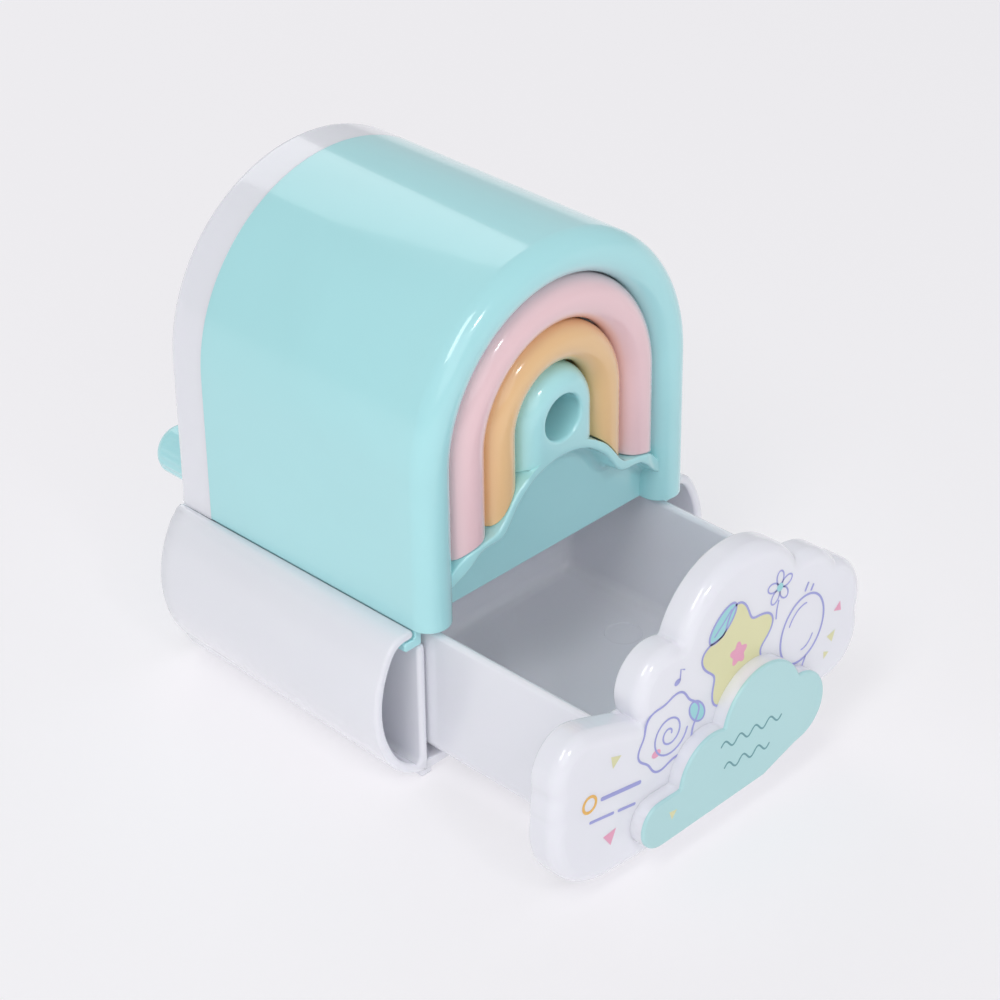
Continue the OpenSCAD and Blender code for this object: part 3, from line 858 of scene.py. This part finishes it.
def base_tray():
    build = Build()
    for side in (-1, 1):
        wing(build, side)
    y0, y1 = BASE_LO.y, BASE_HI.y
    plate = [(-30.6, 1.45), (30.6, 1.45), (30.6, 3.35), (-30.6, 3.35)]
    slab(build, plate, y0 + 0.1, y1 - 0.4, 0.35, 0.2, 4)
    # runners for the drawer
    for x in (-25, 25):
        runner = [
            (x - 1, 3.2), (x + 1, 3.2), (x + 1, 4.7), (x + 0.75, 4.93), (x - 0.75, 4.93), (x - 1, 4.7),
        ]
        slab(build, runner, y0 + 1, y1 - 3, 0.3, 0.2, 3)
    # back wall, from one wing's outside to the other's
    edge = arc(*HEEL, 11.45, -80, -30, 10)
    edge += arc(*BULGE, 21.45, -30, 31, 26)[1:]
    edge += arc(*SHOULDER, 4.45, 31, 90, 10)[1:]
    edge = [(x - closed_in(x, y1 - 1.6 - y0), z) for x, z in edge]
    slab(build, edge + [(-x, z) for x, z in reversed(edge)], y1 - 2.2, y1 - 0.01, 0.1, 0.5, 3)
    # stops behind the drawer
    for x in (-12, 12):
        stop = [(x - 2, 12), (x + 2, 12), (x + 2, 18), (x - 2, 18)]
        slab(build, stop, y1 - 2.8, y1 - 1.2, 0.3, 0.1, 3)
    skid(build, 0, y0 + 6, y1 - 6)
    piece("base_tray_skin", build, WHITE, "base", ["base_tray"])


# ---- drawer
def plan_loop(half, y0, y1, r_front, r_back, n=10):
    """Closed plan outline (x, y) with rounded corners."""
    pts = []
    for cx, cy, r, a0 in (
        (half - r_front, y0 + r_front, r_front, -90),
        (half - r_back, y1 - r_back, r_back, 0),
        (-half + r_back, y1 - r_back, r_back, 90),
        (-half + r_front, y0 + r_front, r_front, 180),
    ):
        for k in range(n + 1):
            a = math.radians(a0 + 90 * k / n)
            pts.append((cx + r * math.cos(a), cy + r * math.sin(a)))
    return pts


def marked_floor(build, border, z):
    """The tray's floor inside a border ring, with four shallow round moulding marks."""
    mark_r, segments = 3.6, 36
    marks = [(x, CLOUD_HI.y + dy) for x in (-18.5, 18.5) for dy in (23.0, 36.6)]
    pts = [Vector((x, y)) for x, y, _ in border]
    edges = [(i, (i + 1) % len(border)) for i in range(len(border))]
    for cx, cy in marks:
        start = len(pts)
        pts += [Vector(p) for p in circle(cx, cy, mark_r, segments)]
        edges += [(start + k, start + (k + 1) % segments) for k in range(segments)]
    # a flat net of triangles around the marks
    verts, _, faces, *_rest = delaunay_2d_cdt(pts, edges, [], 1, 1e-7)
    ids = build.ring([(v.x, v.y, z) for v in verts])
    for face in faces:
        centre = sum((verts[i] for i in face), Vector((0, 0))) / len(face)
        if all((centre - Vector(mark)).length >= mark_r * 0.99 for mark in marks):
            build.faces.append(tuple(ids[i] for i in face))
    # each mark sinks a little inside its edge
    sunk = ((mark_r, 0.0), (3.55, 0.02), (3.5, 0.12), (3.4, 0.16), (2.9, 0.17))
    for cx, cy in marks:
        rings = [[(x, y, z - dz) for x, y in circle(cx, cy, r, segments)] for r, dz in sunk]
        build.loft(rings, cap_end=True)


def drawer_tray():
    build = Build()
    half = TRAY_HI.x
    y0, y1 = CLOUD_HI.y - 1.4, TRAY_HI.y
    z0, z1 = TRAY_LO.z, TRAY_HI.z
    wall = 1.7
    rim = wall / 2
    low, fillet = 2.4, 2.4
    floor = z0 + 1.55
    # (inset, height) from the bottom up the outside, over the rim and down the inside
    rows = []
    for k in range(8):
        a = math.pi / 2 * k / 7
        rows.append((low * (1 - math.sin(a)), z0 + low * (1 - math.cos(a))))
    rows += [(0.0, z0 + low + (z1 - rim - z0 - low) * k / 5) for k in range(1, 5)]
    for k in range(13):
        a = math.pi * k / 12
        rows.append((rim - rim * math.cos(a), z1 - rim + rim * math.sin(a)))
    rows += [(wall + 0.02 * k, z1 - rim - (z1 - rim - floor - fillet) * k / 5) for k in range(1, 5)]
    for k in range(9):
        a = math.pi / 2 * k / 8
        rows.append((wall + 0.1 + fillet * (1 - math.cos(a)), floor + fillet * (1 - math.sin(a))))
    rings = []
    for e, z in rows:
        plan = plan_loop(half - e, y0 + e, y1 - e, max(0.3, 2.9 - e), max(0.3, 3.1 - e * 0.6))
        rings.append([(x, y, z) for x, y in plan])
    build.loft(rings, cap_start=True)
    marked_floor(build, rings[-1], floor)
    piece("drawer_tray_skin", build, WHITE, "drawer", ["drawer_tray"])


# ---- cloud front and badge
# circles (x, z, radius) and straight bars that make up each outline
CLOUD_LOBES = [
    (-31, 16.5, 13.7), (-36.8, 26.9, 7.4), (-37.0, 21.5, 7.5), (-17.4, 33.4, 7.4), (1.4, 34.5, 16.5),
    (16.5, 32, 11.1), (23.5, 28.5, 9.6), (24, 22.4, 8.9), (8.8, 10.4, 8.2), (-22, 12.2, 10),
]
CLOUD_LINES = [((-31, 2.8), (-24.5, 2.2)), ((-24.5, 2.2), (9, 2.2)), ((9, 2.2), (24.5, 16))]
BADGE_LOBES = [(3.2, 19, 10), (12.6, 15.4, 6.9), (-9.5, 13.7, 8), (-22.2, 10.2, 4.6)]
BADGE_LINES = [((-22.2, 5.6), (4, 5.9)), ((4, 5.9), (12.6, 8.5))]


def cloud_front():
    build = Build()
    outline = lobe_outline(CLOUD_LOBES, CLOUD_LINES, -5, 21, 1200, 2.2)
    slab(build, outline, CLOUD_LO.y, CLOUD_HI.y, 2.5, 0.5, 10)
    piece("cloud_front_skin", build, WHITE, "drawer", ["cloud_front"], angle=40)


def badge():
    outline = lobe_outline(BADGE_LOBES, BADGE_LINES, -4, 12.5, 900, 2.0)
    seam = FACE_HI.y
    block = Build()
    slab(block, outline, seam, BADGE_HI.y + 0.4, 0.02, 0.02, 2)
    piece("cloud_badge_skin", block, WHITE, "drawer", ["cloud_badge"])
    face = Build()
    slab(face, outline, FACE_LO.y, seam, 0.45, 0.02, 5)
    piece("badge_face_skin", face, MINT_FACE, "drawer", ["badge_face"])


# ---- crank
def crank_arm():
    build = Build()
    y0 = ARM_LO.y
    shaft_r, knob_r = 7.0, 5.0
    # outline round both ends, with straight sides that touch both rounds
    along = Vector((KNOB_X, KNOB_Z - ARCH_Z))
    heading = math.degrees(math.atan2(along.y, along.x))
    spread = math.degrees(math.acos((shaft_r - knob_r) / along.length))
    pts = arc(0, ARCH_Z, shaft_r, heading + spread, heading + 360 - spread, 40)
    pts += arc(KNOB_X, KNOB_Z, knob_r, heading - spread, heading + spread, 28)
    slab(build, pts, y0, y0 + 3.6, 0.5, 1.1, 7)
    # boss over the shaft
    boss = [(5.0, 3.2), (6.1, 3.4), (6.1, 3.9), (5.9, 4.25), (5.4, 4.4), (4.4, 4.4)]
    rings = cylinder_rings([(r, y0 + depth) for r, depth in boss], 0, ARCH_Z, 72)
    build.loft(rings, cap_start=True, cap_end=True)
    piece("crank_arm_skin", build, MINT, "crank", ["crank_arm"])


def crank_knob():
    build = Build()
    y0, y1 = KNOB_LO.y, KNOB_HI.y
    sides, flutes, flute_depth = 144, 18, 0.12
    grip, end_r = 1.5, 2.6
    # (radius below the full one, depth) of the collar at the arm
    collar = [(1.4, 0.0), (0.75, 0.12), (0.45, 0.45), (0.4, 0.8), (0.1, 1.1), (0.0, grip)]
    profile = [(1.9, y0 + 0.02)] + [(KNOB_R - less, y0 + depth) for less, depth in collar]
    profile += [(KNOB_R, y0 + grip + (y1 - end_r - y0 - grip) * k / 4) for k in range(1, 4)]
    for k in range(11):
        a = math.pi / 2 * k / 10
        profile.append((KNOB_R - end_r + end_r * math.cos(a), y1 - end_r + end_r * math.sin(a)))
    profile.append((1.2, y1))
    rings = cylinder_rings(profile, KNOB_X, KNOB_Z, sides)
    for ring, (radius, y) in zip(rings, profile):
        if radius == KNOB_R and y > y0 + grip + 0.1:
            # shallow flutes along the grip, running out before its ends
            for i, (x, _, z) in enumerate(ring):
                sunk = 0.5 + 0.5 * math.cos(2 * math.pi * flutes * i / sides)
                k = 1 - flute_depth / KNOB_R * sunk
                ring[i] = (KNOB_X + (x - KNOB_X) * k, y, KNOB_Z + (z - KNOB_Z) * k)
    build.loft(rings, cap_start=True, cap_end=True)
    piece("crank_knob_skin", build, MINT, "knob", ["crank_knob"])


# ---- printed marks
# how far a mark's back reaches into the drawer's front
SUNK = 0.05
# films that lie on each other have different thicknesses
THIN, MIDDLE, THICK, TOP = 0.02, 0.03, 0.04, 0.05
# widths of lines
LINE, FINE = 0.42, 0.3


def prism(build, outline, y, thick):
    front = build.ring([(x, y - thick, z) for x, z in outline])
    back = build.ring([(x, y + SUNK, z) for x, z in outline])
    build.skin(front, back)
    build.cap(front)
    build.cap(list(reversed(back)))


def offset_sides(pts, width, closed):
    """Both sides of a line, half its width to the left and to the right."""
    n = len(pts)
    left, right = [], []
    for i in range(n):
        if closed:
            t = pts[(i + 1) % n] - pts[i - 1]
        else:
            t = pts[min(i + 1, n - 1)] - pts[max(i - 1, 0)]
        t.normalize()
        normal = Vector((-t.y, t.x)) * width / 2
        left.append(pts[i] + normal)
        right.append(pts[i] - normal)
    return left, right


def closed_stroke(build, line, width, y, thick):
    """A flat printed outline of even width."""
    left, right = offset_sides([Vector(p) for p in line], width, True)
    front, back = y - thick, y + SUNK
    sides = ((left, front), (right, front), (right, back), (left, back), (left, front))
    build.loft([[(p.x, depth, p.y) for p in side] for side, depth in sides])


def stroke(build, line, width, y, thick):
    """A flat printed line as a thin strip of even width with round ends."""
    pts = [Vector(p) for p in line]
    n = len(pts)
    left, right = offset_sides(pts, width, False)
    round_end = 5

    def end_arc(centre, t):
        normal = Vector((-t.y, t.x))
        turns = (math.pi * k / (round_end + 1) for k in range(1, round_end + 1))
        return [centre + (normal * math.cos(a) + t * math.sin(a)) * width / 2 for a in turns]

    start_arc = end_arc(pts[0], (pts[0] - pts[1]).normalized())
    loop = left + end_arc(pts[-1], (pts[-1] - pts[-2]).normalized()) + right[::-1] + start_arc
    front = build.ring([(p.x, y - thick, p.y) for p in loop])
    back = build.ring([(p.x, y + SUNK, p.y) for p in loop])
    build.skin(front, back)
    # quads between the sides, then one face for each round end
    for ids, order in ((front, 1), (back, -1)):
        lefts = ids[:n]
        rights = ids[n + round_end : 2 * n + round_end][::-1]
        for i in range(n - 1):
            build.faces.append((lefts[i], lefts[i + 1], rights[i + 1], rights[i])[::order])
        build.faces.append(tuple([lefts[-1]] + ids[n : n + round_end] + [rights[-1]]))
        build.faces.append(tuple([rights[0]] + ids[2 * n + round_end :] + [lefts[0]]))


def turned(x, z, cx, cz, degrees):
    """A point turned about the origin, then moved to a centre."""
    t = math.radians(degrees)
    return (cx + x * math.cos(t) - z * math.sin(t), cz + x * math.sin(t) + z * math.cos(t))


def ellipse(cx, cz, rx, rz, turn=0.0, n=40):
    return elliptic_arc(cx, cz, rx, rz, turn, n, 0, 360)[:-1]


def elliptic_arc(cx, cz, rx, rz, turn, n, a0, a1):
    angles = [math.radians(a0 + (a1 - a0) * k / n) for k in range(n + 1)]
    return [turned(rx * math.cos(a), rz * math.sin(a), cx, cz, turn) for a in angles]


def blob(cx, cz, r, lobes, depth, turn, n, wide, high):
    """A closed wavy outline, such as a blossom or a rounded star."""
    out = []
    for k in range(n):
        a = 2 * math.pi * k / n
        reach = r * (1 + depth * math.cos(lobes * a))
        out.append(turned(reach * math.cos(a) * wide, reach * math.sin(a) * high, cx, cz, turn))
    return out


def triangle(cx, cz, r, turn):
    angles = [math.radians(turn + 120 * k) for k in range(3)]
    return [(cx + r * math.cos(a), cz + r * math.sin(a)) for a in angles]


def star_with_leaf(inks, y):
    star = blob(-0.6, 32.2, 8.4, 5, 0.2, 18, 160, 0.92, 1.0)
    prism(inks["yellow"], star, y, THIN)
    closed_stroke(inks["lilac"], star, LINE, y, THICK)
    leaf = ellipse(-4.6, 40.0, 4.0, 1.9, 40)
    prism(inks["mint"], leaf, y, MIDDLE)
    closed_stroke(inks["lilac"], leaf, LINE, y, THICK)
    stroke(inks["lilac"], [(-6.6, 38.4), (-4.6, 40.0), (-2.6, 41.8)], FINE, y, THICK)
    prism(inks["pink"], blob(-0.4, 32.0, 2.0, 5, 0.2, 18, 60, 0.92, 1.0), y, MIDDLE)


def flower(inks, y):
    cx, cz, petal = 9.9, 40.2, 1.9
    for turn in range(90, 450, 72):
        a = math.radians(turn)
        outline = ellipse(cx + petal * math.cos(a), cz + petal * math.sin(a), 1.35, 0.9, turn)
        closed_stroke(inks["lilac"], outline, FINE, y, THICK)
    prism(inks["mint"], ellipse(cx, cz, 0.8, 0.8), y, TOP)
    stroke(inks["lilac"], [(9.7, 37.6), (9.3, 36.0), (9.2, 34.2)], 0.32, y, THICK)


def balloon(inks, y):
    lilac = inks["lilac"]
    closed_stroke(lilac, ellipse(16.4, 28.6, 5.6, 6.6, -18, 60), LINE, y, THICK)
    stroke(lilac, elliptic_arc(16.4, 28.6, 4.0, 5.0, -18, 20, 100, 170), FINE, y, THICK)
    stroke(lilac, elliptic_arc(17.0, 27.6, 2.6, 3.4, -18, 20, 280, 350), FINE, y, THICK)
    string = catmull([(17.6, 22.2), (16.9, 20.4), (18.4, 18.8), (17.6, 16.9)], 8)
    stroke(lilac, string, 0.36, y, THICK)


def swirl(inks, y):
    rim = blob(-17.6, 25.0, 6.7, 6, 0.07, 10, 140, 1.05, 0.98)
    closed_stroke(inks["lilac"], rim, LINE, y, THICK)
    spiral = []
    for k in range(60):
        a = math.radians(12 * k)
        r = 0.5 + 0.068 * k
        spiral.append((-17.4 + r * math.cos(a), 24.6 + r * math.sin(a)))
    stroke(inks["lilac"], spiral, 0.36, y, THICK)
    bead = ellipse(-10.6, 25.6, 2.6, 1.5, -55)
    prism(inks["mint"], bead, y, MIDDLE)
    closed_stroke(inks["lilac"], bead, 0.36, y, TOP)
    prism(inks["pink"], ellipse(-20.6, 22.2, 1.1, 0.75), y, THIN)


def note_and_dashes(inks, y):
    prism(inks["lilac"], ellipse(-15.7, 34.0, 0.75, 0.55, 20), y, THICK)
    stroke(inks["lilac"], [(-15.05, 34.2), (-14.9, 36.2), (-14.0, 35.7)], 0.28, y, THICK)
    stroke(inks["lilac"], [(16.8, 36.2), (17.5, 37.4)], 0.45, y, THICK)
    stroke(inks["lilac"], [(18.4, 35.6), (18.9, 36.4)], 0.45, y, THICK)


def confetti(inks, y):
    for colour, cx, cz, r, turn in (
        ("yellow", -30.6, 26.3, 1.5, 10),
        ("pink", -31.7, 11.4, 1.8, 35),
        ("pink", 26.2, 28.2, 1.2, 70),
        ("yellow", 24.6, 23.0, 1.3, 40),
        ("yellow", 23.2, 19.9, 0.9, 5),
    ):
        prism(inks[colour], triangle(cx, cz, r, turn), y, THIN)


def ring_and_bars(inks, y):
    """A plain ring and three plain bars, lower left."""
    closed_stroke(inks["orange"], ellipse(-36.6, 20.7, 1.5, 1.5), 0.55, y, THICK)
    stroke(inks["lilac"], [(-33.6, 20.2), (-24.6, 18.6)], 0.8, y, THICK)
    stroke(inks["lilac"], [(-36.4, 16.9), (-31.0, 15.9)], 0.55, y, THICK)
    stroke(inks["lilac"], [(-29.6, 15.6), (-25.8, 14.9)], 0.55, y, THICK)


def ripple(build, x0, x1, z0, z1, waves, y):
    """A wavy line from one point to another."""
    height, steps = 0.75, 60
    pts = []
    for k in range(steps + 1):
        f = k / steps
        wave = height * math.sin(2 * math.pi * waves * f)
        pts.append((x0 + (x1 - x0) * f, z0 + (z1 - z0) * f + wave))
    stroke(build, pts, 0.34, y, MIDDLE)


def printed():
    """One piece for each ink, with marks on the cloud front and on its badge."""
    colours = {
        "yellow": INK_YELLOW, "lilac": INK_LILAC, "mint": INK_MINT,
        "pink": INK_PINK, "orange": INK_ORANGE, "teal": INK_TEAL,
    }
    inks = {colour: Build() for colour in colours}
    for mark in (star_with_leaf, flower, balloon, swirl, note_and_dashes, confetti, ring_and_bars):
        mark(inks, CLOUD_LO.y)
    ripple(inks["teal"], -7.6, 8.0, 18.0, 16.6, 4, FACE_LO.y)
    ripple(inks["teal"], -6.6, 5.0, 13.2, 12.2, 3, FACE_LO.y)
    prism(inks["yellow"], triangle(-19.6, 10.9, 1.1, 20), FACE_LO.y, THIN)
    for colour, mat in colours.items():
        piece("print_" + colour, inks[colour], mat, "drawer")


housing_shell()
fascia()
trim_arch(
    "outer_trim_skin", "outer_trim_arch", R_MID + 0.12, R_RIM - 0.1, 0.1, 0.14, PINK
)
trim_arch(
    "inner_trim_skin", "inner_trim_arch", R_NOSE + 0.3, R_MID - 0.12, 0.0, 0.2, APRICOT
)
rear_cover()
base_tray()
drawer_tray()
cloud_front()
badge()
crank_arm()
crank_knob()
printed()

# ---- CAD nodes that stay as they are
KEPT = {
    "fascia_screws": STEEL, "cover_screws": STEEL, "guide_bush": GUIDE_TEAL_WITH_BORE_SHADE, "gear_ring": NYLON,
    "rear_bush": BRASS, "cutter_carrier": ZINC, "carrier_screw": STEEL, "drive_shaft": STEEL,
    "crank_screw": STEEL, "knob_pin": STEEL, "helical_cutter": STEEL, "cutter_pinion": BRASS,
    "cutter_axle": STEEL, "axle_clip": STEEL, "front_screws": STEEL,
}
for name, mat in KEPT.items():
    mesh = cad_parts[name].data
    mesh.materials.clear()
    mesh.materials.append(mat)


# ---- stage, light and camera, in metres
def stage():
    """A light table: part of its brightness is its own, so shadows on it stay faint."""
    half = 6
    mesh = bpy.data.meshes.new("floor")
    corners = [(-half, -half, 0), (half, -half, 0), (half, half, 0), (-half, half, 0)]
    mesh.from_pydata(corners, [], [(0, 1, 2, 3)])
    look = Look("paper_floor")
    look.colour(look.noise(3.0), (0.6, 0.585, 0.6, 1), (0.61, 0.595, 0.61, 1))
    look.put({"Emission Color": (1.0, 0.995, 1.0, 1), "Emission Strength": 0.4})
    look.put({"Roughness": 0.9, "Specular IOR Level": 0.1})
    mesh.materials.append(look.material)
    floor = new_object("floor", mesh)


def place_light(data, location, target):
    obj = new_object(data.name, data)
    obj.location = location
    obj.rotation_euler = (Vector(target) - Vector(location)).to_track_quat("-Z", "Y").to_euler()


def panel_light(name, location, target, width, height, power, colour=(1, 1, 1)):
    data = bpy.data.lights.new(name, "AREA")
    data.shape = "RECTANGLE"
    data.size = width
    data.size_y = height
    data.energy = power
    data.color = colour
    place_light(data, location, target)


def snoot():
    """A narrow soft spot that opens up the drawer and the wave panel."""
    data = bpy.data.lights.new("snoot", "SPOT")
    data.energy = 2.9
    data.spot_size = math.radians(11.5)
    data.spot_blend = 1.0
    data.shadow_soft_size = 0.06
    data.color = (1.0, 0.97, 1.0)
    place_light(data, (-0.1, -0.38, 0.34), (0.004, -0.03, 0.018))


def surroundings():
    world = bpy.data.worlds.new("studio")
    bpy.context.scene.world = world
    world.use_nodes = True
    background = world.node_tree.nodes["Background"]
    background.inputs["Color"].default_value = (0.95, 0.96, 1.0, 1)
    background.inputs["Strength"].default_value = 0.55
    bpy.context.scene.view_settings.view_transform = "Standard"
    bpy.context.scene.view_settings.look = "None"


def camera():
    """A long lens from the front left, above the part and rolled a little."""
    place = Vector((-0.31971, -0.33494, 0.31848))
    azimuth, elevation, roll = (math.radians(a) for a in (-45.30, 31.94, -0.78))
    right = Vector((math.cos(azimuth), math.sin(azimuth), 0))
    flat = math.cos(elevation)
    back = Vector((math.sin(azimuth) * flat, -math.cos(azimuth) * flat, math.sin(elevation)))
    up = back.cross(right)
    rolled_right = right * math.cos(roll) + up * math.sin(roll)
    rolled_up = up * math.cos(roll) - right * math.sin(roll)
    data = bpy.data.cameras.new("camera")
    data.sensor_width = 36.0
    data.lens = 108.45
    data.clip_start = 0.01
    data.clip_end = 50
    obj = new_object("camera", data)
    rows = [(rolled_right[i], rolled_up[i], back[i], place[i]) for i in range(3)]
    obj.matrix_world = Matrix(rows + [(0, 0, 0, 1)])
    bpy.context.scene.camera = obj


stage()
panel_light("key", (-0.7, -0.3, 1.0), (0, 0, 0.05), 0.3, 0.6, 2.7, (1.0, 0.99, 0.98))
panel_light("fill", (-0.62, -0.95, 0.7), (0, -0.02, 0.04), 0.9, 0.9, 2.0, (0.99, 0.98, 1.0))
panel_light("back", (0.4, 1.1, 0.9), (0, 0, 0.05), 0.8, 0.8, 2.3)
snoot()
surroundings()
camera()
